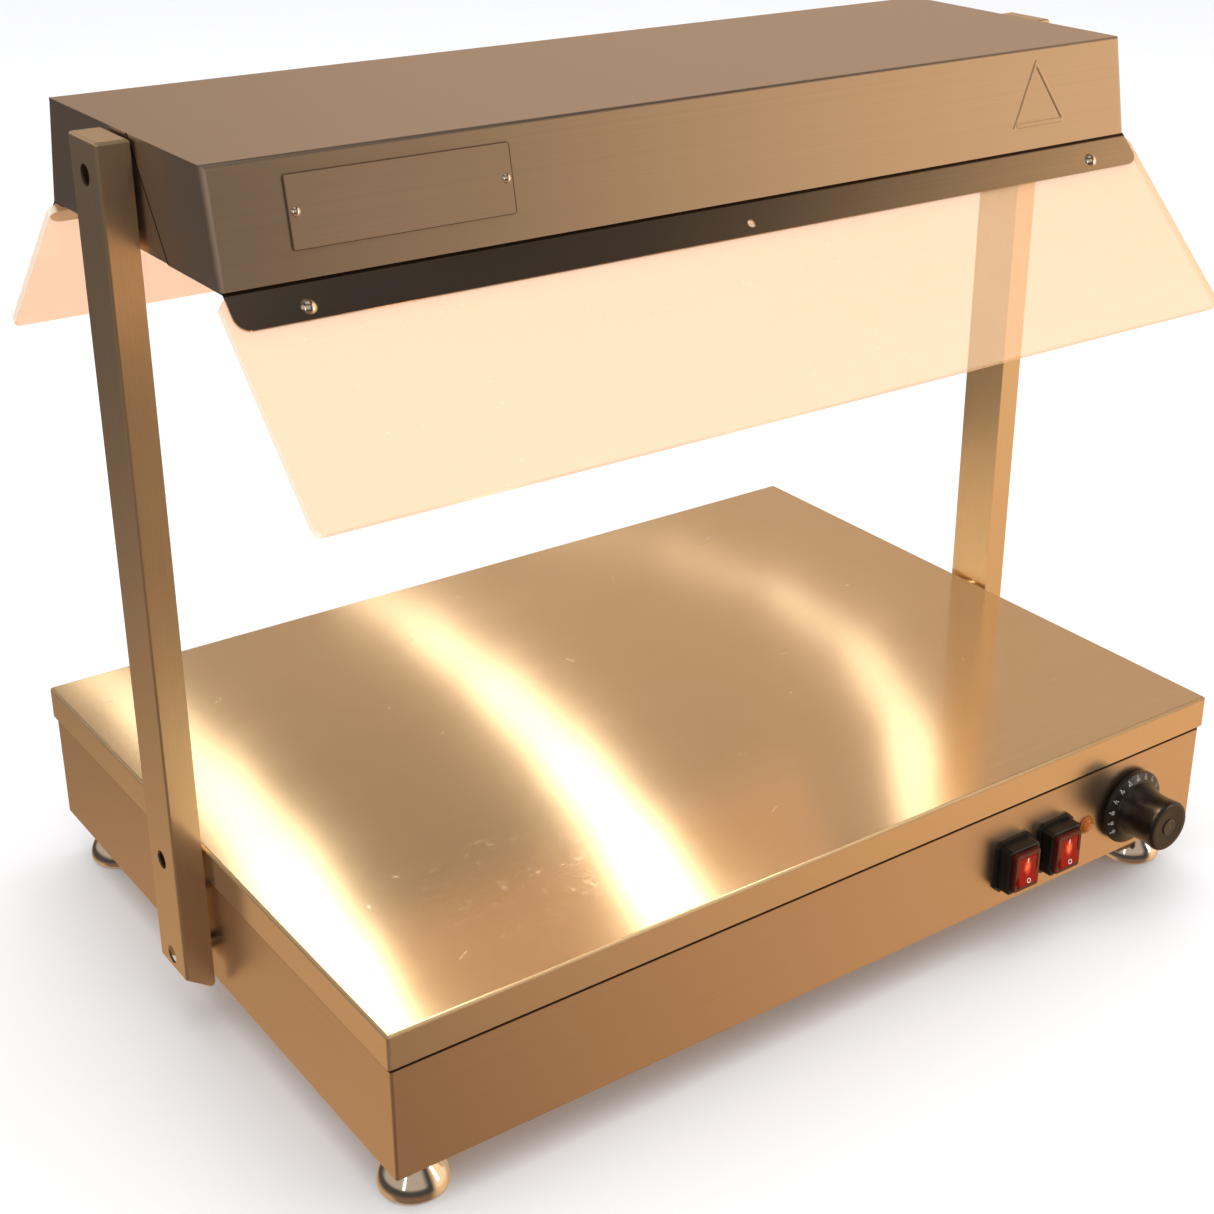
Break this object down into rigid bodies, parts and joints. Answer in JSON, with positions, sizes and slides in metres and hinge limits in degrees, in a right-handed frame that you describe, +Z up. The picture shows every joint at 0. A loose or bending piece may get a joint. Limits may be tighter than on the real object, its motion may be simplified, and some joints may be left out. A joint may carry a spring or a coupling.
{
  "type": "heat lamp warmer",
  "caption": "Countertop food warmer: a heated steel deck on a shallow base, side posts and a lamp hood with sloping clear guards along its front and back.",
  "frame": {"origin": "on the surface the feet stand on, in the middle of the whole object's outer box", "axes": "+X along the deck to the user's right, +Y to the back, +Z up; the controls face -Y"},
  "size_m": [0.7464, 0.577, 0.6068],
  "materials": {
    "brushed_steel": "brushed along its length",
    "polished_chrome": "polished",
    "plated_fastener": "zinc plated",
    "black_rubber": "matt",
    "clear_panel": "clear, polished edges",
    "quartz": "clear, lit",
    "ceramic": "unglazed",
    "reflector_steel": "bright rolled",
    "galvanised_steel": "galvanised",
    "heater_mat": "silicone rubber",
    "mineral_wool": "fibrous",
    "black_plastic": "satin",
    "white_plastic": "matt",
    "red_rocker": "translucent, lit from inside",
    "dark_red_plastic": "gloss",
    "amber_lens": "translucent",
    "insulated_wire": "silicone sleeve",
    "copper": "bare metal"
  },
  "bodies": {
    "warmer": {"deck_plate": "brushed_steel", "base_shell": "brushed_steel", "bottom_cover": "galvanised_steel", "front_left_foot": "polished_chrome", "front_right_foot": "polished_chrome", "rear_left_foot": "polished_chrome", "rear_right_foot": "polished_chrome", "foot_pads": "black_rubber", "foot_nuts": "plated_fastener", "bottom_cover_screws": "plated_fastener", "deck_heater_mat": "heater_mat", "insulation_pad": "mineral_wool", "heater_clamp_plate": "galvanised_steel", "deck_studs": "plated_fastener", "deck_stud_nuts": "plated_fastener", "thermostat_body": "ceramic", "thermostat_screws": "plated_fastener", "thermostat_bulb": "copper", "light_switch_boot": "black_rubber", "light_switch_body": "dark_red_plastic", "plate_switch_boot": "black_rubber", "plate_switch_body": "dark_red_plastic", "spade_terminals": "copper", "pilot_lens": "amber_lens", "pilot_body": "white_plastic", "cable_gland": "black_plastic", "gland_nut": "black_plastic", "terminal_block": "white_plastic", "earth_stud": "copper", "base_wiring": "insulated_wire", "lamp_cable": "insulated_wire", "left_post": "brushed_steel", "right_post": "brushed_steel", "left_post_strip": "galvanised_steel", "right_post_strip": "galvanised_steel", "post_bolts": "plated_fastener", "post_spacers": "plated_fastener", "post_nuts": "plated_fastener", "left_lamp": "quartz", "right_lamp": "quartz", "left_lamp_holders": "ceramic", "right_lamp_holders": "ceramic", "lamp_brackets": "galvanised_steel", "hood_shell": "brushed_steel", "nameplate": "brushed_steel", "nameplate_screws": "polished_chrome", "reflector": "reflector_steel", "lamp_guard": "polished_chrome", "guard_screws": "plated_fastener", "front_glass_rail": "brushed_steel", "rear_glass_rail": "brushed_steel", "front_glass": "clear_panel", "rear_glass": "clear_panel", "glass_screws": "polished_chrome", "glass_nuts": "plated_fastener"},
    "light_switch_rocker": {"light_rocker": "red_rocker"},
    "plate_switch_rocker": {"plate_rocker": "red_rocker"},
    "dial": {"thermostat_knob": "black_plastic", "knob_cap": "black_plastic", "thermostat_shaft": "plated_fastener"}
  },
  "joints": [
    {"name": "light_rocker_tilt", "type": "hinge", "parent": "warmer", "child": "light_switch_rocker", "pos_m": [0.154, -0.2595, 0.0685], "axis": [1, 0, 0], "range_deg": [0, 16]},
    {"name": "plate_rocker_tilt", "type": "hinge", "parent": "warmer", "child": "plate_switch_rocker", "pos_m": [0.196, -0.2595, 0.0685], "axis": [1, 0, 0], "range_deg": [0, 16]},
    {"name": "dial_turn", "type": "hinge", "parent": "warmer", "child": "dial", "pos_m": [0.275, -0.2475, 0.073], "axis": [0, 1, 0], "range_deg": [-120, 120]}
  ]
}
